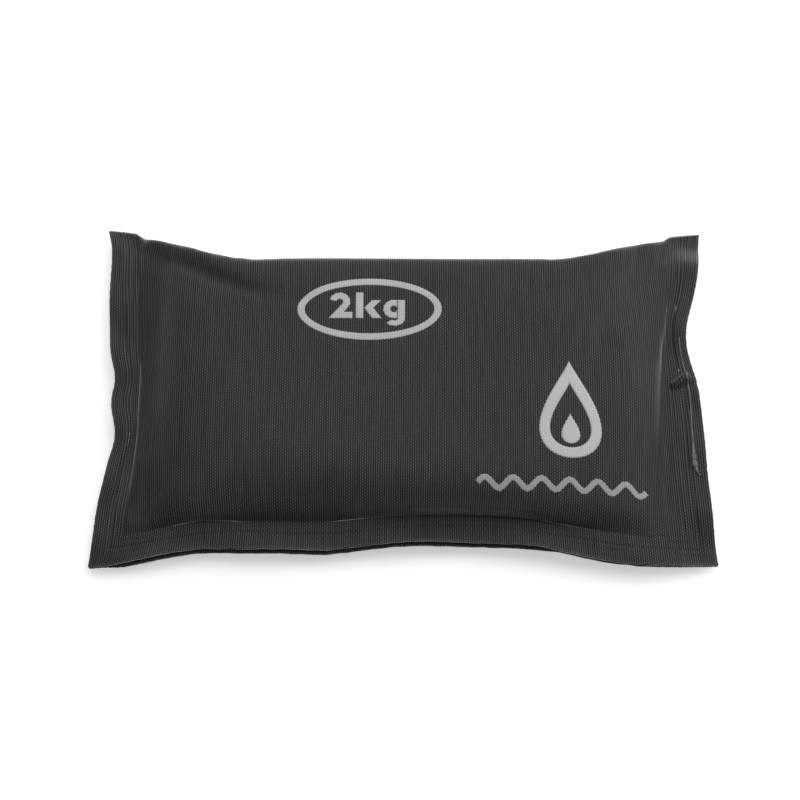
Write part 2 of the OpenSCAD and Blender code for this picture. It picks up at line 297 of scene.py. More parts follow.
# how finely the real sheet is laid over the filled shape, and what its making left on it
sheet = {
    "flangeStep": 0.5 * mm,
    "seamStep": 0.6 * mm,
    "middleStep": 1.5 * mm,
    "easeOver": 14 * mm,
    "plump": 1.35,  # the body stands fuller between its seams and its top
    "plumpFrom": 5 * mm,
    "plumpOver": 7 * mm,
    "sideSlack": 0.66,  # the side seams let the cloth rise only slowly beside them
    "sideOver": 20 * mm,
    "slackFromFold": 12 * mm,
    "slackFromFront": 5 * mm,
    "dentOver": 6 * mm,
    "marginGap": 0.12 * mm,
    "seamLoft": 4 * mm,  # how soon the layers part inside the seam
    "upperShare": 0.35,  # of the gap between the layers
    "bandShare": 0.15,
    "lipEase": 9,  # mm
    "lipShift": 0.5 * mm,
    "lipSpan": (-92, 46),  # mm, where the lower layer sticks out at the front
    "cutReach": 0.1,  # share of the flange that the ragged cut reaches into
    "fray": 0.045 * mm,
}
# where the two layers part at the cut edge: edge, start, end and gap in mm
lips = (("front", -92, 46, 1.6), ("front", 60, 90, 0.6), ("left", 51, 62, 1.5), ("left", -62, -52, 0.3),
        ("right", 40, 62, 0.5), ("right", -20, 20, 0.3), ("left", -5, 25, 0.3))
# soft dents where the shot has settled: flat x and y, length along x and y, depth, in mm
dents = ((-62, 42, 16, 6, -0.7), (-82, 30, 5, 15, 0.7), (-82, -8, 4, 9, 0.4), (-48, 50, 8, 6, 0.35),
         (-30, 48, 9, 5, -0.2), (56, 50, 7, 7, 0.1), (81, 14, 6, 12, 0.6), (74, 36, 6, 9, 0.5),
         (80, -30, 5, 9, 0.4), (-62, 16, 22, 30, 0.35), (22, -8, 40, 18, -0.3), (-20, -30, 30, 9, 0.25),
         (50, 22, 24, 18, -0.25))
# a crease pinched into the right margin, in mm: it widens from start to end, with a hollow under it
pinch = {"start": (90.5, 0.2), "end": (97.6, 4.0), "height": 1.6, "width": 1.0, "under": -0.6,
         "underAway": 2.2, "narrow": 0.6, "widen": 0.8, "startEase": 2.5, "endEase": 1.2}


# places from start to end, close together beside the seams
def stationsBetween(start, end, seams):
    places = [start]
    while places[-1] < end:
        away = min(abs(places[-1] - seam) for seam in seams)
        ease = float(smooth(away / sheet["easeOver"]))
        places.append(places[-1] + sheet["seamStep"] + (sheet["middleStep"] - sheet["seamStep"]) * ease)
    places = np.array(places)
    return start + (places - start) * (end - start) / (places[-1] - start)


seamX = halfWidth - flange
seamY = -(halfDepth - flange)
edgeSteps = round(flange / sheet["flangeStep"])
columnPlaces = np.concatenate([np.linspace(-halfWidth, -seamX, edgeSteps + 1)[:-1],
                               stationsBetween(-seamX, seamX, (-seamX, seamX)),
                               np.linspace(seamX, halfWidth, edgeSteps + 1)[1:]])
rowPlaces = np.concatenate([np.linspace(-halfDepth, seamY, edgeSteps + 1)[:-1],
                            stationsBetween(seamY, halfDepth, (seamY, 2 * mm, halfDepth))])


# 1 between start and end, easing to 0 outside
def spanShare(value, start, end, ease):
    return smooth((value - start) / ease + 0.5) * smooth((end - value) / ease + 0.5)


# how far the layers stand apart outside the weld
def lipGap(x, y):
    gap = np.full(x.shape, sheet["marginGap"])
    for edge, start, end, most in lips:
        if edge == "front":
            run, out = x, -y - halfDepth + flange
        else:
            run, out = y, (x if edge == "right" else -x) - halfWidth + flange
        parted = smooth((out - pouch["band"]) / pouch["margin"])
        parted = parted * spanShare(run / mm, start, end, sheet["lipEase"])
        gap = gap + most * mm * parted
    return gap


# distance out from the seam, wandering a little inside the flange
def outward(x, y):
    wander = pouch["grooveWander"] * (np.sin((x + y) / (9 * mm)) + 0.6 * np.sin((x - y) / (4.3 * mm) + 1))
    out = np.maximum(abs(x) - seamX, seamY - y)
    return out + wander * smooth(out / (1.5 * mm)) * smooth((flange - out) / (2 * mm))


def pinchRise(x, y):
    start, end = (np.array(pinch[k]) * mm for k in ("start", "end"))
    run = end - start
    length = float(np.hypot(*run))
    s = ((x - start[0]) * run[0] + (y - start[1]) * run[1]) / length
    t = ((y - start[1]) * run[0] - (x - start[0]) * run[1]) / length
    span = smooth(s / (pinch["startEase"] * mm) + 0.4) * smooth((length - s) / (pinch["endEase"] * mm) + 0.5)
    wide = pinch["width"] * mm * (pinch["narrow"] + pinch["widen"] * np.clip(s / length, 0, 1))
    crest = pinch["height"] * np.exp(-(t / wide) ** 2)
    hollow = pinch["under"] * np.exp(-((t + pinch["underAway"] * wide) / wide) ** 2)
    return (crest + hollow) * mm * span


# inner face of one panel: the simulated body, then what making and use left on it
def layPanel(isUpper):
    x, y = np.meshgrid(columnPlaces, rowPlaces)
    place = np.stack(heldEdge(x, y), -1)
    rim = round(flange / fill["cell"])
    grid = (upperGrid if isUpper else lowerGrid)[rim:, rim:-rim]
    inColumns = np.where(abs(columnPlaces) < seamX - mm / 100)[0]
    inRows = np.where(rowPlaces > seamY + mm / 100)[0]
    down = cubicWeights((rowPlaces[inRows] - seamY) / fill["cell"], grid.shape[0])
    over = cubicWeights((columnPlaces[inColumns] + seamX) / fill["cell"], grid.shape[1])
    place[np.ix_(inRows, inColumns)] = np.einsum("ri,ijk,cj->rck", down, grid, over)

    out = outward(x, y)
    side = 1 if isUpper else -1
    fromSeam = np.clip(-np.maximum(abs(x) - seamX, seamY - y), 0, 1)
    if isUpper:
        top = place[..., 2].max()
        base = sheet["plumpFrom"]
        share = np.clip((place[..., 2] - base) / (top - base), 0, 1)
        fuller = base + (top - base) * (1 - (1 - share) ** sheet["plump"])
        fuller = np.where(share > 0, fuller - place[..., 2], 0)
        place[..., 2] += fuller * smooth(fromSeam / sheet["plumpOver"])
        slack = sheet["sideSlack"] * (1 - smooth((seamX - abs(x)) / sheet["sideOver"])) * (abs(x) < seamX)
        slack = slack * smooth((halfDepth - y) / sheet["slackFromFold"])
        slack = slack * smooth((y - seamY) / sheet["slackFromFront"])
        place[..., 2] -= np.maximum(place[..., 2] - pouch["seamHeight"], 0) * slack
        for dx, dy, lengthX, lengthY, depth in dents:
            bowl = np.exp(-((x / mm - dx) / lengthX) ** 2 - ((y / mm - dy) / lengthY) ** 2)
            place[..., 2] -= depth * mm * bowl * smooth(fromSeam / sheet["dentOver"])
        place[..., 2] += pinchRise(x, y)
    ridge = sum(high * np.exp(-((out / mm - at) / wide) ** 2) for at, wide, high in pouch["sealGrooves"])
    ridge = ridge * mm * smooth(out / mm + 0.6)
    gap = pouch["bandThick"] * np.exp(-fromSeam / sheet["seamLoft"])
    gap = gap + lipGap(x, y) * smooth(out / pouch["band"] - 0.6)
    share = sheet["upperShare"] if isUpper else 1 - sheet["upperShare"]
    parted = gap * share + pouch["bandThick"] * sheet["bandShare"]
    place[..., 2] += side * (parted + ridge)
    cut = np.clip(out / flange - (1 - sheet["cutReach"]), 0, sheet["cutReach"]) / sheet["cutReach"]
    long, short = x / mm * 3.1 + y / mm * 2.3, x / mm * 7.7 - y / mm * 5.9 + side
    ragged = sheet["fray"] * (np.sin(long) + np.sin(short))
    stickOut = 0 if isUpper else sheet["lipShift"] * spanShare(x / mm, *sheet["lipSpan"], sheet["lipEase"])
    place[..., 0] += np.sign(x) * ragged * cut * (abs(x) > seamX)
    place[..., 1] -= (ragged + stickOut) * cut * (y < seamY)
    if not isUpper:
        place[..., 2] = np.maximum(place[..., 2], pouch["fabric"])
    return place


# outward directions of a grid of points
def sheetNormals(place):
    downRows = np.gradient(place, axis=0)
    acrossColumns = np.gradient(place, axis=1)
    normal = np.cross(acrossColumns, downRows)
    return normal / np.maximum(np.linalg.norm(normal, axis=-1, keepdims=True), 1e-12)


# the whole cut sheet in one grid: up the upper panel to the fold, then back down the lower one
upperIn, lowerIn = layPanel(True), layPanel(False)
foldRow = len(rowPlaces) - 1
upperIn[-1] = lowerIn[-1] = (upperIn[-1] + lowerIn[-1]) / 2
sheetIn = np.concatenate([upperIn, lowerIn[-2::-1]])
facing = sheetNormals(sheetIn)
sheetOut = sheetIn + pouch["fabric"] * facing
sheetOut[..., 2] = np.maximum(sheetOut[..., 2], 0)
flatX, flatY = np.meshgrid(columnPlaces + halfWidth,
                           np.concatenate([rowPlaces, 2 * halfDepth - rowPlaces[-2::-1]]) + halfDepth)
print("sheet laid", sheetIn.shape)


# a mesh that keeps its place on the flat cloth, where it lies on it
def newPiece(name, points, faces, material, flat=None):
    mesh = bpy.data.meshes.new(name)
    mesh.from_pydata(np.asarray(points).reshape(-1, 3).tolist(), [], faces)
    if flat is not None:
        layer = mesh.attributes.new("flatPlace", "FLOAT_VECTOR", "POINT")
        layer.data.foreach_set("vector", np.asarray(flat, np.float32).ravel())
    mesh.shade_smooth()
    mesh.update()
    mesh.materials.append(material)
    piece = bpy.data.objects.new(name, mesh)
    bpy.context.scene.collection.objects.link(piece)
    return piece


# faces of a closed slab between two grids of points; loop joins the last row to the first
def slabFaces(rows, columns, loop=False):
    count = rows * columns
    index = np.arange(count).reshape(rows, columns)
    if loop:
        index = np.vstack([index, index[:1]])
    a, b, c, d = index[:-1, :-1], index[:-1, 1:], index[1:, 1:], index[1:, :-1]
    outer = np.stack([a, b, c, d], -1).reshape(-1, 4)
    inner = outer[:, ::-1] + count
    edges = [(index[:, 0], False), (index[:, -1], True)]
    if not loop:
        edges += [(index[0], True), (index[-1], False)]
    rims = []
    for line, turn in edges:
        wall = np.stack([line[:-1], line[1:], line[1:] + count, line[:-1] + count], -1)
        rims.append(wall[:, ::-1] if turn else wall)
    return np.concatenate([outer, inner] + rims).tolist()


def slabPiece(name, outer, inner, material, flat=None, loop=False):
    points = np.concatenate([outer.reshape(-1, 3), inner.reshape(-1, 3)])
    flats = None if flat is None else np.concatenate([flat.reshape(-1, 3)] * 2)
    return newPiece(name, points, slabFaces(outer.shape[0], outer.shape[1], loop), material, flats)


# a node group that takes a place and some values and gives out what varies from spot to spot
def newGroup(name, values, results):
    group = bpy.data.node_groups.new(name, "ShaderNodeTree")
    group.interface.new_socket("Place", in_out="INPUT", socket_type="NodeSocketVector")
    for label, value in values.items():
        socket = group.interface.new_socket(label, in_out="INPUT", socket_type="NodeSocketFloat")
        socket.default_value = value
    for label in results:
        group.interface.new_socket(label, in_out="OUTPUT", socket_type="NodeSocketFloat")
    return group, group.nodes.new("NodeGroupInput"), group.nodes.new("NodeGroupOutput")


def mathNode(tree, operation, *inputs, clamp=False):
    node = tree.nodes.new("ShaderNodeMath")
    node.operation = operation
    node.use_clamp = clamp
    for socket, value in zip(node.inputs, inputs):
        if isinstance(value, (int, float)):
            socket.default_value = value
        else:
            tree.links.new(value, socket)
    return node.outputs[0]


def noiseNode(tree, place, scale, detail, stretch=None):
    if stretch:
        mapping = tree.nodes.new("ShaderNodeMapping")
        mapping.inputs["Scale"].default_value = stretch
        tree.links.new(place, mapping.inputs["Vector"])
        place = mapping.outputs[0]
    noise = tree.nodes.new("ShaderNodeTexNoise")
    noise.inputs["Scale"].default_value = scale
    noise.inputs["Detail"].default_value = detail
    tree.links.new(place, noise.inputs["Vector"])
    return noise.outputs["Fac"]


def rangeNode(tree, value, low, high, newLow, newHigh):
    node = tree.nodes.new("ShaderNodeMapRange")
    tree.links.new(value, node.inputs["Value"])
    for label, number in (("From Min", low), ("From Max", high), ("To Min", newLow), ("To Max", newHigh)):
        if isinstance(number, (int, float)):
            node.inputs[label].default_value = number
        else:
            tree.links.new(number, node.inputs[label])
    return node.outputs[0]


def mixColour(tree, fac, first, second):
    node = tree.nodes.new("ShaderNodeMix")
    node.data_type = "RGBA"
    for socket, value in ((node.inputs[0], fac), (node.inputs[6], first), (node.inputs[7], second)):
        if isinstance(value, (int, float, tuple)):
            socket.default_value = value
        else:
            tree.links.new(value, socket)
    return node.outputs[2]


weave = {
    "across": 0.718 * mm,  # from thread to thread
    "along": 0.497 * mm,
    "wobble": 0.1,
    "wobbleScale": 160.0,
    "roundness": 0.6,
    "blend": 0.15,
    "ribs": 3.0,
    "dipShade": 0.35,  # how much painted shade dims a rib where it dips under
    "threadStreaks": (1500, 60, 1),
}


# plain weave: threads cross over and under, seen as height and as a mask of the threads on top, which the
# cloth paints with highlight on the raised ribs and shade where they dip under
def buildWeave():
    sizes = {"Across": weave["across"], "Along": weave["along"], "Wobble": weave["wobble"]}
    group, into, out = newGroup("plainWeave", sizes, ("Height", "Warp", "Thread"))
    split = group.nodes.new("ShaderNodeSeparateXYZ")
    group.links.new(into.outputs["Place"], split.inputs[0])
    turns = []
    for axis, pitch, stretch in (("X", "Across", (1, 0.25, 1)), ("Y", "Along", (0.25, 1, 1))):
        noise = noiseNode(group, into.outputs["Place"], weave["wobbleScale"], 1.0, stretch)
        loose = mathNode(group, "MULTIPLY", mathNode(group, "SUBTRACT", noise, 0.5), into.outputs["Wobble"])
        count = mathNode(group, "DIVIDE", split.outputs[axis], into.outputs[pitch])
        turns.append(mathNode(group, "MULTIPLY", mathNode(group, "ADD", count, loose), math.pi))
    sines = [mathNode(group, "SINE", turn) for turn in turns]
    check = mathNode(group, "MULTIPLY", *sines)
    rounds = [mathNode(group, "POWER", mathNode(group, "ABSOLUTE", sine), weave["roundness"])
              for sine in sines]
    up = mathNode(group, "MULTIPLY_ADD", check, 0.5, 0.5)
    down = mathNode(group, "SUBTRACT", 1.0, up)
    warp = mathNode(group, "MULTIPLY", rounds[0], up)
    weft = mathNode(group, "MULTIPLY", rounds[1], down)
    height = mathNode(group, "SMOOTH_MAX", warp, weft, weave["blend"])
    ribs = mathNode(group, "POWER", mathNode(group, "ABSOLUTE", sines[0]), weave["ribs"])
    dim = mathNode(group, "MULTIPLY_ADD", check, weave["dipShade"], 1 - weave["dipShade"])
    mask = mathNode(group, "MULTIPLY", ribs, dim)
    thread = noiseNode(group, into.outputs["Place"], 1.0, 1.0, weave["threadStreaks"])
    group.links.new(height, out.inputs["Height"])
    group.links.new(mask, out.inputs["Warp"])
    group.links.new(thread, out.inputs["Thread"])
    return group


# slow, cloudy differences in tone, and fine specks of lint
def buildHandling():
    group, into, out = newGroup("handling", {"Size": 60.0}, ("Cloud", "Lint", "Grain"))
    noise = group.nodes.new("ShaderNodeTexNoise")
    noise.inputs["Detail"].default_value = 3.0
    group.links.new(into.outputs["Place"], noise.inputs["Vector"])
    group.links.new(into.outputs["Size"], noise.inputs["Scale"])
    speck = noiseNode(group, into.outputs["Place"], 1500.0, 0.0)
    group.links.new(rangeNode(group, noise.outputs["Fac"], 0.3, 0.7, 0.0, 1.0), out.inputs["Cloud"])
    group.links.new(rangeNode(group, speck, 0.78, 0.84, 0.0, 1.0), out.inputs["Lint"])
    group.links.new(noiseNode(group, into.outputs["Place"], 2600.0, 2.0), out.inputs["Grain"])
    return group


weaveGroup, handlingGroup = buildWeave(), buildHandling()


def placeGroup(tree, group, place, **values):
    node = tree.nodes.new("ShaderNodeGroup")
    node.node_tree = group
    tree.links.new(place, node.inputs["Place"])
    for label, value in values.items():
        node.inputs[label].default_value = value
    return node.outputs


# placed by the flat cloth, or by the piece itself when there is no attribute
def newMaterial(name, attribute="flatPlace"):
    material = bpy.data.materials.new(name)
    material.use_nodes = True
    tree = material.node_tree
    shader = tree.nodes["Principled BSDF"]
    if attribute:
        source = tree.nodes.new("ShaderNodeAttribute")
        source.attribute_name = attribute
        place = source.outputs["Vector"]
    else:
        place = tree.nodes.new("ShaderNodeTexCoord").outputs["Object"]
    return material, tree, shader, place


def addBump(tree, shader, height, distance, strength=1.0):
    bump = tree.nodes.new("ShaderNodeBump")
    bump.inputs["Distance"].default_value = distance
    bump.inputs["Strength"].default_value = strength
    tree.links.new(height, bump.inputs["Height"])
    tree.links.new(bump.outputs[0], shader.inputs["Normal"])


# dark nylon with a thin coating; its colour holds a painted sheen where the cloth turns away from the view,
# and painted highlight and shade in its weave
nylon = {
    # dark is the painted shade between the threads, light the painted highlight on their raised ribs
    "dark": (0.0015, 0.0015, 0.0017, 1),
    "light": (0.12, 0.12, 0.122, 1),
    "worn": (0.13, 0.13, 0.13, 1),
    "wornReach": 0.9 * mm,  # in from the cut edge
    "strand": (0.75, 1.25),  # from the dullest to the brightest thread
    # how strongly the highlight is painted on the ribs and on the higher threads
    "ribHighlight": 0.9,
    "crownHighlight": 0.05,
    "cloud": (0.9, 1.08),
    "lint": 0.25,
    "paintedSheen": 3.4,  # painted sheen: times brighter where the cloth turns away
    "paintedSheenFrom": 0.4,
    "paintedSheenTo": 0.8,
    "rough": (0.56, 0.66),
    "threadRough": -0.08,
    "sheen": 1.0,
    "sheenRoughness": 0.3,
    "specular": 0.2,
    "grainDepth": 0.15,
    "weaveDepth": 0.11 * mm,
    "bump": 0.9,
}


def nylonMaterial():
    material, tree, shader, place = newMaterial("wovenNylon")
    cloth = placeGroup(tree, weaveGroup, place)
    touch = placeGroup(tree, handlingGroup, place)
    # painted highlight on the raised ribs and the higher threads, painted shade between them
    strand = rangeNode(tree, cloth["Thread"], 0.3, 0.7, *nylon["strand"])
    lit = mathNode(tree, "MULTIPLY", cloth["Warp"], strand)
    low = mathNode(tree, "MULTIPLY", cloth["Height"], nylon["crownHighlight"])
    fac = mathNode(tree, "ADD", mathNode(tree, "MULTIPLY", lit, nylon["ribHighlight"]), low, clamp=True)
    cloud = rangeNode(tree, touch["Cloud"], 0.0, 1.0, *nylon["cloud"])
    colour = mixColour(tree, mathNode(tree, "MULTIPLY", fac, cloud), nylon["dark"], nylon["light"])
    wornEdge = tree.nodes.new("ShaderNodeAttribute")
    wornEdge.attribute_name = "cutEdge"
    rub = mathNode(tree, "MULTIPLY", wornEdge.outputs["Fac"],
                   rangeNode(tree, touch["Grain"], 0.45, 0.62, 0.0, 1.0))
    lint = mathNode(tree, "MULTIPLY", touch["Lint"], nylon["lint"])
    colour = mixColour(tree, mathNode(tree, "MAXIMUM", rub, lint), colour, nylon["worn"])
    # painted sheen: the colour is made brighter where the cloth turns away from the view
    turned = tree.nodes.new("ShaderNodeLayerWeight")
    turned.inputs["Blend"].default_value = 0.5
    bright = rangeNode(tree, turned.outputs["Facing"], nylon["paintedSheenFrom"], nylon["paintedSheenTo"],
                       1.0, nylon["paintedSheen"])
    scaled = tree.nodes.new("ShaderNodeVectorMath")
    scaled.operation = "SCALE"
    tree.links.new(colour, scaled.inputs[0])
    tree.links.new(bright, scaled.inputs["Scale"])
    tree.links.new(scaled.outputs[0], shader.inputs["Base Color"])
    rough = mathNode(tree, "ADD", rangeNode(tree, touch["Cloud"], 0.0, 1.0, *nylon["rough"]),
                     mathNode(tree, "MULTIPLY", cloth["Height"], nylon["threadRough"]))
    tree.links.new(rough, shader.inputs["Roughness"])
    shader.inputs["Specular IOR Level"].default_value = nylon["specular"]
    shader.inputs["Sheen Weight"].default_value = nylon["sheen"]
    shader.inputs["Sheen Roughness"].default_value = nylon["sheenRoughness"]
    grain = mathNode(tree, "MULTIPLY", touch["Grain"], nylon["grainDepth"])
    addBump(tree, shader, mathNode(tree, "ADD", cloth["Height"], grain), nylon["weaveDepth"], nylon["bump"])
    return material


# ink pressed into the weave: thin on the high threads, broken at its edge
ink = {
    "tone": (0.57, 0.575, 0.585, 1),
    "thin": (0.3, 0.3, 0.305, 1),
    "weaveDepth": 0.05 * mm,
    "bump": 0.8,
    "inDips": 0.25,  # how well it covers the low threads, and the worn patches
    "inPatches": 0.86,
    "patchScale": 180.0,
}


def inkMaterial(name, strength):
    material, tree, shader, place = newMaterial(name)
    cloth = placeGroup(tree, weaveGroup, place)
    touch = placeGroup(tree, handlingGroup, place, Size=ink["patchScale"])
    covered = mathNode(tree, "MULTIPLY", rangeNode(tree, cloth["Height"], 0.1, 0.6, ink["inDips"], 1.0),
                       rangeNode(tree, touch["Cloud"], 0.0, 1.0, ink["inPatches"], 1.0))
    tone, thin = (tuple(strength * c for c in ink[k][:3]) + (1,) for k in ("tone", "thin"))
    tree.links.new(mixColour(tree, covered, thin, tone), shader.inputs["Base Color"])
    tree.links.new(rangeNode(tree, touch["Grain"], 0.3, 0.7, 0.5, 0.72), shader.inputs["Roughness"])
    shader.inputs["Specular IOR Level"].default_value = 0.3
    addBump(tree, shader, cloth["Height"], ink["weaveDepth"], ink["bump"])
    return material


# coating that has melted and set again, slightly glossy and lumpy
coating = {
    "band": (0.03, 0.03, 0.032, 1),
    "bead": (0.17, 0.17, 0.17, 1),
    "thread": (0.3, 0.3, 0.3, 1),
    "shade": 0.55,
    "rough": (0.34, 0.6),
    "lumpScale": 420.0,
    "lumps": 0.12 * mm,
    "bump": 0.7,
}


def coatingMaterial(name, tone):
    material, tree, shader, place = newMaterial(name, None)
    touch = placeGroup(tree, handlingGroup, place, Size=coating["lumpScale"])
    dark = tuple(coating["shade"] * c for c in tone[:3]) + (1,)
    tree.links.new(mixColour(tree, touch["Cloud"], dark, tone), shader.inputs["Base Color"])
    tree.links.new(rangeNode(tree, touch["Grain"], 0.3, 0.7, *coating["rough"]), shader.inputs["Roughness"])
    shader.inputs["Specular IOR Level"].default_value = 0.45
    addBump(tree, shader, touch["Cloud"], coating["lumps"], coating["bump"])
    return material


# packed shot: rounded pellets of dull lead with a little oxide between them
shot = {
    "pellet": 2.2 * mm,
    "lead": (0.2, 0.205, 0.215, 1),
    "oxide": (0.05, 0.05, 0.055, 1),
    "depth": 0.8 * mm,
    "clear": 0.35 * mm,  # from the cloth
    "rim": 5,  # rows and columns left out beside the seams, and beside the fold
    "foldRim": 2,
    "every": 2,
}


def leadMaterial():
    material, tree, shader, place = newMaterial("leadShot", None)
    cells = tree.nodes.new("ShaderNodeTexVoronoi")
    cells.inputs["Scale"].default_value = 1 / shot["pellet"]
    tree.links.new(place, cells.inputs["Vector"])
    pellet = rangeNode(tree, cells.outputs["Distance"], 0.0, 0.62, 1.0, 0.0)
    tree.links.new(mixColour(tree, pellet, shot["oxide"], shot["lead"]), shader.inputs["Base Color"])
    tree.links.new(rangeNode(tree, pellet, 0.0, 1.0, 0.75, 0.42), shader.inputs["Roughness"])
    tree.links.new(rangeNode(tree, pellet, 0.1, 0.5, 0.2, 1.0), shader.inputs["Metallic"])
    addBump(tree, shader, mathNode(tree, "SQRT", pellet), shot["depth"])
    return material


print("materials ready")

# the pieces
coverCloth = nylonMaterial()
flats = np.stack([flatX, flatY, np.zeros(flatX.shape)], -1)
cover = slabPiece("pouchCover", sheetOut, sheetIn, coverCloth, flats)
fromCut = np.minimum(halfWidth - abs(flatX - halfWidth), np.minimum(flatY, 4 * halfDepth - flatY))
cutShare = np.clip(1 - fromCut / nylon["wornReach"], 0, 1)
edgeLayer = cover.data.attributes.new("cutEdge", "FLOAT", "POINT")
edgeLayer.data.foreach_set("value", np.concatenate([cutShare.ravel()] * 2).astype(np.float32))
cover.data.update()

# the fused coating between the two layers, one band on each closed side
sealCoating = coatingMaterial("fusedCoating", coating["band"])
topIn, bottomIn = sheetIn[:foldRow + 1], sheetIn[:foldRow - 1:-1]
bandSteps = round(pouch["band"] / sheet["flangeStep"])
lastColumn = len(columnPlaces) - 1
bands = {
    "leftSeal": (slice(bandSteps, edgeSteps + 1), slice(edgeSteps, foldRow)),
    "rightSeal": (slice(lastColumn - edgeSteps, lastColumn - bandSteps + 1), slice(edgeSteps, foldRow)),
    "frontSeal": (slice(bandSteps, lastColumn - bandSteps + 1), slice(bandSteps, edgeSteps + 1)),
}
seals = {name: slabPiece(name, topIn[rows, columns], bottomIn[rows, columns], sealCoating)
         for name, (columns, rows) in bands.items()}

# the bed of shot fills the space inside, a little clear of the cloth
fromRim, every = edgeSteps + shot["rim"], shot["every"]
inner = (slice(fromRim, foldRow - shot["foldRim"], every), slice(fromRim, lastColumn - fromRim + 1, every))
upFacing, downFacing = facing[:foldRow + 1], facing[:foldRow - 1:-1]
bedTop = (topIn - shot["clear"] * upFacing)[inner]
bedBottom = (bottomIn - shot["clear"] * downFacing)[inner]
shotBed = slabPiece("shotBed", bedTop, bedBottom, leadMaterial())
print("cover, seals and shot made")

# the marks lie on the cloth where a plumb line from above meets it
sheetRows, sheetColumns = sheetOut.shape[:2]
outerFaces = slabFaces(sheetRows, sheetColumns)[:(sheetRows - 1) * (sheetColumns - 1)]
coverTree = BVHTree.FromPolygons(sheetOut.reshape(-1, 3).tolist(), outerFaces)
plumbFrom = 0.1


def plumb(x, y):
    return coverTree.ray_cast(Vector((x, y, plumbFrom)), Vector((0, 0, -1)))


def onCloth(x, y, lift):
    place, normal = plumb(x, y)[:2]
    return np.array(place + normal * lift)


# where that place lies on the flat sheet, so that the ink follows the weave
def flatOnCloth(x, y):
    place, face = plumb(x, y)[::2]
    row, column = divmod(face, sheetColumns - 1)
    corner = flats[row, column]
    step = np.array(place) - sheetOut[row, column]
    return corner + (step[0], step[1], 0)


# a film of ink: rows of places across its width, thinner at its two edges
marks = {
    "film": 0.05 * mm,
    "under": 0.02 * mm,
    "edge": 0.03 * mm,
    "thinning": 5,
    "ragged": 0.09 * mm,
    "rags": (8.5, 5.1),
    "across": 7,
    "step": 0.35 * mm,
}


def inkFilm(name, left, right, material, loop=False):
    left, right = np.asarray(left, float), np.asarray(right, float)
    if loop:
        left, right = np.vstack([left, left[:1]]), np.vstack([right, right[:1]])
    middle = (left + right) / 2
    run = np.concatenate([[0], np.cumsum(np.hypot(*np.diff(middle, axis=0).T))])
    steps = max(4, round(run[-1] / marks["step"]))
    at = np.linspace(0, run[-1], steps + 1)
    at = np.union1d(at, run) if not loop else at[:-1]
    sides = [np.stack([np.interp(at, run, side[:, k]) for k in (0, 1)], -1) for side in (left, right)]
    quick, slow = marks["rags"]
    jitter = [marks["ragged"] * (np.sin(at / mm * quick + 2 * k) + np.sin(at / mm * slow + k))
              for k in (0, 1)]
    across = sides[1] - sides[0]
    across = across / np.maximum(np.hypot(*across.T)[:, None], 1e-9)
    sides = [sides[0] + across * jitter[0][:, None], sides[1] + across * jitter[1][:, None]]
    shares = np.linspace(0, 1, marks["across"])
    top, bottom, flat = [], [], []
    for first, second in zip(*sides):
        for share in shares:
            x, y = first + (second - first) * share
            fromSide = min(1, marks["thinning"] * min(share, 1 - share))
            crown = marks["edge"] + (marks["film"] - marks["edge"]) * fromSide
            top.append(onCloth(x, y, marks["under"] + crown))
            bottom.append(onCloth(x, y, marks["under"] * 0.5))
            flat.append(flatOnCloth(x, y))
    shape = (len(at), marks["across"], 3)
    top, bottom, flat = (np.array(a).reshape(shape) for a in (top, bottom, flat))
    clockwise = np.cross(top[0, -1] - top[0, 0], top[1, 0] - top[0, 0])[2] < 0
    if clockwise:
        top, bottom, flat = top[:, ::-1], bottom[:, ::-1], flat[:, ::-1]
    return slabPiece(name, top, bottom, material, flat, loop)


# the two sides of a line of even width along a path
def strokeSides(path, width):
    path = np.asarray(path, float)
    ahead = np.diff(path, axis=0)
    ahead = ahead / np.hypot(*ahead.T)[:, None]
    before, after = np.vstack([ahead[:1], ahead]), np.vstack([ahead, ahead[-1:]])
    middle = before + after
    middle = middle / np.hypot(*middle.T)[:, None]
    middle = middle / (middle * after).sum(-1, keepdims=True)
    side = np.stack([-middle[:, 1], middle[:, 0]], -1) * width / 2
    return path + side, path - side


def arc(middle, radii, start, end, steps):
    turns = np.radians(np.linspace(start, end, steps + 1))
    return np.stack([middle[0] + radii[0] * np.cos(turns), middle[1] + radii[1] * np.sin(turns)], -1)


ring = {"middle": (-10.9 * mm, 21.4 * mm), "width": 46.8 * mm, "depth": 22.6 * mm, "line": 2.4 * mm,
        "steps": 180}
figure = {"height": 9.5 * mm, "line": 0.24, "middle": (1.4, 0.36), "curve": 28}
drop = {"middle": (53.2 * mm, -13.6 * mm), "width": 20 * mm, "height": 33 * mm, "line": 3.4 * mm,
        "steps": 120, "fullness": 1.5, "widest": 0.702, "core": 0.3, "coreUp": 1.4, "coreSteps": 40}
wave = {"middle": (50.4 * mm, -38.6 * mm), "length": 54 * mm, "height": 5 * mm, "line": 1.8 * mm, "turns": 6,
        "steps": 180}
weightInk = inkMaterial("weightInk", 0.95)
dropInk = inkMaterial("dropInk", 1.05)
waveInk = inkMaterial("waveInk", 0.68)


# several films as one piece with the first one's ink
def joinPieces(name, pieces):
    for piece in pieces[1:]:
        piece.data.materials.clear()
        piece.data.materials.append(pieces[0].data.materials[0])
    merged = bmesh.new()
    for piece in pieces:
        merged.from_mesh(piece.data)
    merged.to_mesh(pieces[0].data)
    merged.free()
    pieces[0].name = pieces[0].data.name = name
    for piece in pieces[1:]:
        bpy.data.objects.remove(piece)
    return pieces[0]


def makeRing():
    turns = np.linspace(0, 2 * math.pi, ring["steps"] + 1)[:-1]
    half = np.array((ring["width"], ring["depth"])) / 2
    sides = [np.array(ring["middle"]) + (half - inset) * np.stack([np.sin(turns), np.cos(turns)], -1)
             for inset in (0, ring["line"])]
    return inkFilm("weightRing", *sides, weightInk, loop=True)


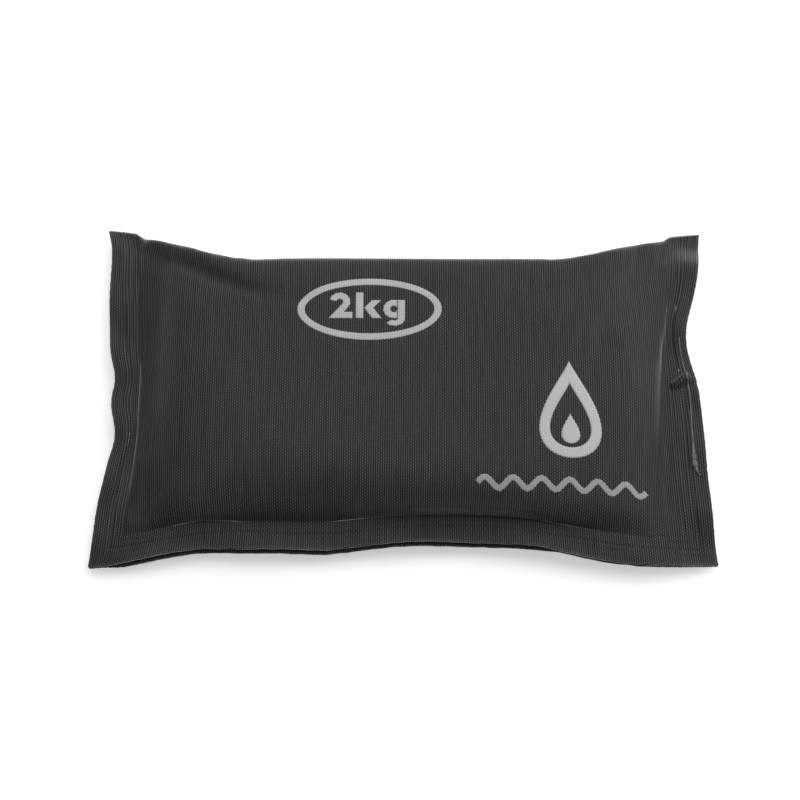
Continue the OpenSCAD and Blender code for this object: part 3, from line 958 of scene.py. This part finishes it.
# the shapes of the weight figure for a height of 1, each as the lines along its two sides
def makeFigure():
    curve = figure["curve"]
    hook = arc((0.38, 0.64), (0.24, 0.24), 165, -40, curve)
    two = strokeSides(np.vstack([hook, [[0.26, 0.12], [0.82, 0.12]]]), figure["line"])
    stem = ([[0, 0], [0, 1]], [[0.26, 0], [0.26, 1]])
    arms = ([[0.56, 0], [0.29, 0.4], [0.55, 0.7]], [[0.88, 0], [0.6, 0.4], [0.86, 0.7]])
    bowl = (arc((0.36, 0.355), (0.12, 0.13), 24, 336, curve),
            arc((0.36, 0.355), (0.36, 0.355), 72, 288, curve))
    tail = (np.vstack([[[0.74, 0.7]], arc((0.38, 0), (0.36, 0.29), 0, -140, curve)]),
            np.vstack([[[0.49, 0.7]], arc((0.38, 0), (0.11, 0.09), 0, -140, curve)]))
    shapes = [(two, 0), (stem, 0.93), (arms, 0.93), (bowl, 1.87), (tail, 1.87)]
    pieces = []
    for number, (sides, over) in enumerate(shapes):
        sides = [(np.array(side) + (over, 0) - figure["middle"]) * figure["height"] + ring["middle"]
                 for side in sides]
        pieces.append(inkFilm("shape%d" % number, *sides, weightInk))
    return joinPieces("weightFigure", pieces)


# round below and pointed above
def dropSide(turns, width, height):
    return np.stack([width / 2 * np.sin(turns) * abs(np.sin(turns / 2)) ** drop["fullness"] / drop["widest"],
                     height / 2 * np.cos(turns)], -1)


def makeDrop():
    turns = np.linspace(0, 2 * math.pi, drop["steps"] + 1)[:-1]
    hollow = 1 - 2 * drop["line"] / drop["width"]
    lower = (0, drop["line"] - drop["height"] * (1 - hollow) / 2)
    outer = dropSide(turns, drop["width"], drop["height"]) + drop["middle"]
    inside = dropSide(turns, drop["width"] * hollow, drop["height"] * hollow) + lower + drop["middle"]
    outline = inkFilm("dropOutline", outer, inside, dropInk, loop=True)
    tall = drop["height"] * drop["core"]
    middle = np.array(drop["middle"]) + (0, -drop["height"] / 2 + drop["line"] * drop["coreUp"] + tall / 2)
    turns = math.pi * (1 - 0.97 * np.linspace(0.03, 1, drop["coreSteps"]))
    half = dropSide(turns, drop["width"] * drop["core"], tall)
    core = inkFilm("dropCore", half * (-1, 1) + middle, half + middle, dropInk)
    return joinPieces("dropMark", [outline, core])


def makeWave():
    share = np.linspace(0, 1, wave["steps"] + 1)
    rise = (wave["height"] - wave["line"]) / 2
    path = np.stack([wave["length"] * (share - 0.5), rise * np.sin(2 * math.pi * wave["turns"] * share)], -1)
    return inkFilm("waveMark", *strokeSides(path + wave["middle"], wave["line"]), waveInk)


weightRing, weightFigure, dropMark, waveMark = makeRing(), makeFigure(), makeDrop(), makeWave()
print("marks printed")

# melted coating that ran along the closing seal: x in from the right edge, y, width, height, in mm
bead = {
    "route": ((2.6, 18, 0.3, 0.2), (2.8, 12, 0.4, 0.3), (3.0, 7, 0.5, 0.35), (3.2, 2, 0.6, 0.4),
              (3.3, -3.5, 0.45, 0.35), (3.6, -9, 0.5, 0.3), (3.8, -14, 0.5, 0.35), (3.9, -18, 0.55, 0.4),
              (4.0, -21, 0.8, 0.5), (4.1, -24, 1.9, 0.9), (4.1, -25.6, 1.6, 0.8), (4.0, -27, 2.1, 0.9),
              (3.6, -29, 1.1, 0.6), (3.1, -30.2, 0.7, 0.5), (2.6, -30.8, 0.5, 0.4), (2.0, -30.7, 0.3, 0.25)),
    "lumps": ((0.14, 4.1), (0.06, 9.0)),  # height and pace
    "sunk": 0.3,  # share of its height that its middle stands above the cloth
    "rings": 200,
    "sides": 12,
}


# faces of a closed tube, its rings of points numbered from first
def tubeFaces(rings, around, first=0):
    faces = []
    for i in range(rings - 1):
        here, after = first + i * around, first + (i + 1) * around
        faces += [[here + j, here + (j + 1) % around, after + (j + 1) % around, after + j]
                  for j in range(around)]
    last = first + (rings - 1) * around
    return faces + [[first + j for j in range(around)][::-1], [last + j for j in range(around)]]


def makeBead():
    route = np.array(bead["route"])
    stops = np.linspace(0, len(route) - 1, bead["rings"])
    path = cubicWeights(stops, len(route)) @ route
    flatLeft = np.stack([halfWidth - path[:, 0] * mm, path[:, 1] * mm], -1)
    planX, planY = heldEdge(flatLeft[:, 0], flatLeft[:, 1])[:2]
    ahead = np.gradient(np.stack([planX, planY], -1), axis=0)
    ahead = ahead / np.hypot(*ahead.T)[:, None]
    turns = np.linspace(0, 2 * math.pi, bead["sides"] + 1)[:-1]
    lumps = np.ones(len(stops))
    for size, pace in bead["lumps"]:
        lumps = lumps + size * np.sin(stops * pace)
    points = []
    for number in range(bead["rings"]):
        wide, high = path[number, 2] * mm / 2 * lumps[number], path[number, 3] * mm * lumps[number]
        for turn in turns:
            offset = wide * math.cos(turn)
            x = planX[number] - ahead[number, 1] * offset
            y = planY[number] + ahead[number, 0] * offset
            points.append(onCloth(x, y, bead["sunk"] * high + (1 - bead["sunk"]) * high * math.sin(turn)))
    faces = tubeFaces(bead["rings"], bead["sides"])
    return newPiece("sealBead", points, faces, coatingMaterial("beadCoating", coating["bead"]))


sealBead = makeBead()

# short ends of thread standing out of the cut edge
frays = {
    "count": 230,
    "longest": 0.9 * mm,
    "shortest": 0.25 * mm,
    "thick": 0.05 * mm,
    "taper": 0.6,
    "bends": 4,
    "spread": 0.7,
    "tilt": (-0.4, 0.5),
    "curl": 0.5,
    "below": (0.1, 0.5),  # mm under the outer face
    "rooted": 0.15 * mm,
    "edges": (0, 0, 0, 1, 1, 2, 3),  # most on the left
    "section": ((1, 0, 0.3), (-0.5, 0.8, 0), (-0.5, -0.8, -0.3)),
    "seed": 7,
}


def makeFrays():
    chance = random.Random(frays["seed"])
    rowsUp = sheetOut[:foldRow + 1]
    edges = [(rowsUp[:, 0], (-1, 0)), (rowsUp[:, -1], (1, 0)), (rowsUp[0], (0, -1)), (sheetOut[-1], (0, -1))]
    points, faces = [], []
    for number in range(frays["count"]):
        line, (outX, outY) = edges[chance.choice(frays["edges"])]
        place = line[chance.randrange(1, len(line) - 1)] - (0, 0, chance.uniform(*frays["below"]) * mm)
        spread = frays["spread"]
        ahead = np.array((outX + chance.uniform(-spread, spread), outY + chance.uniform(-spread, spread),
                          chance.uniform(*frays["tilt"])))
        curl = np.array([chance.uniform(-frays["curl"], frays["curl"]) for axis in range(3)])
        length = chance.uniform(frays["shortest"], frays["longest"])
        place = place - frays["rooted"] * np.array((outX, outY, 0))
        for bend in range(frays["bends"] + 1):
            share = bend / frays["bends"]
            middle = place + ahead * length * share + curl * length * share ** 2
            thin = frays["thick"] / 2 * (1 - frays["taper"] * share)
            points += [middle + thin * np.array(corner) for corner in frays["section"]]
        rings, around = frays["bends"] + 1, len(frays["section"])
        faces += tubeFaces(rings, around, number * rings * around)
    return newPiece("edgeFrays", points, faces, coatingMaterial("threadEnds", coating["thread"]))


edgeFrays = makeFrays()
print("bead and thread ends made")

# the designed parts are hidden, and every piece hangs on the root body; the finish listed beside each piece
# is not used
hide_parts("cover")
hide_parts("left_seal")
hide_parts("right_seal")
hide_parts("front_seal")
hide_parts("lead_shot")
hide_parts("weight_ring")
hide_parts("weight_mark")
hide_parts("drop_mark")
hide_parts("wave_mark")
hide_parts("seal_bead")
for piece, slot in ((cover, "pouch_fabric"), (edgeFrays, "pouch_fabric"), (sealBead, "fused_coating"),
                    (shotBed, "lead"), (weightRing, "print_ink"), (weightFigure, "print_ink"),
                    (dropMark, "print_ink"), (waveMark, "print_ink")) + \
        tuple((seal, "fused_coating") for seal in seals.values()):
    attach(piece, "root")

# camera, floor and light
view = {"elevation": 65, "distance": 0.858, "lens": 117.4, "aim": (-1 * mm, 0, 0)}
light = {
    "boxes": {  # place, size across, power
        "backBox": ((-0.1, 1.1, 0.95), 1.2, 7.5),
        "overheadBox": ((0.25, 0.15, 1.6), 1.2, 9.5),
        "rightBox": ((1.3, 0.3, 0.9), 1.2, 10.0),
    },
    "sky": 0.12,
}
ground = {"Base Color": (0.9, 0.9, 0.9, 1), "Roughness": 0.9, "Specular IOR Level": 0.1,
          "Emission Color": (1, 1, 1, 1), "Emission Strength": 0.5}
reach = 3  # of the floor, in metres

bpy.context.scene.view_settings.view_transform = "Standard"
cameraData = bpy.data.cameras.new("camera")
cameraData.lens = view["lens"]
camera = bpy.data.objects.new("camera", cameraData)
bpy.context.scene.collection.objects.link(camera)
tilt = math.radians(view["elevation"])
camera.location = Vector(view["aim"]) + view["distance"] * Vector((0, -math.cos(tilt), math.sin(tilt)))
camera.rotation_euler = (math.pi / 2 - tilt, 0, 0)
bpy.context.scene.camera = camera

floorMaterial = newMaterial("paleFloor", None)[0]
for label, value in ground.items():
    floorMaterial.node_tree.nodes["Principled BSDF"].inputs[label].default_value = value
floor = newPiece("floor", [(-reach, -reach, 0), (reach, -reach, 0), (reach, reach, 0), (-reach, reach, 0)],
                 [[0, 1, 2, 3]], floorMaterial)

for name, (place, across, power) in light["boxes"].items():
    lampData = bpy.data.lights.new(name, "AREA")
    lampData.shape = "DISK"
    lampData.size = across
    lampData.energy = power
    lamp = bpy.data.objects.new(name, lampData)
    lamp.location = place
    lamp.rotation_euler = (-Vector(place)).to_track_quat("-Z", "Y").to_euler()
    bpy.context.scene.collection.objects.link(lamp)

world = bpy.data.worlds.new("studio")
bpy.context.scene.world = world
world.use_nodes = True
world.node_tree.nodes["Background"].inputs["Color"].default_value = (1, 1, 1, 1)
world.node_tree.nodes["Background"].inputs["Strength"].default_value = light["sky"]
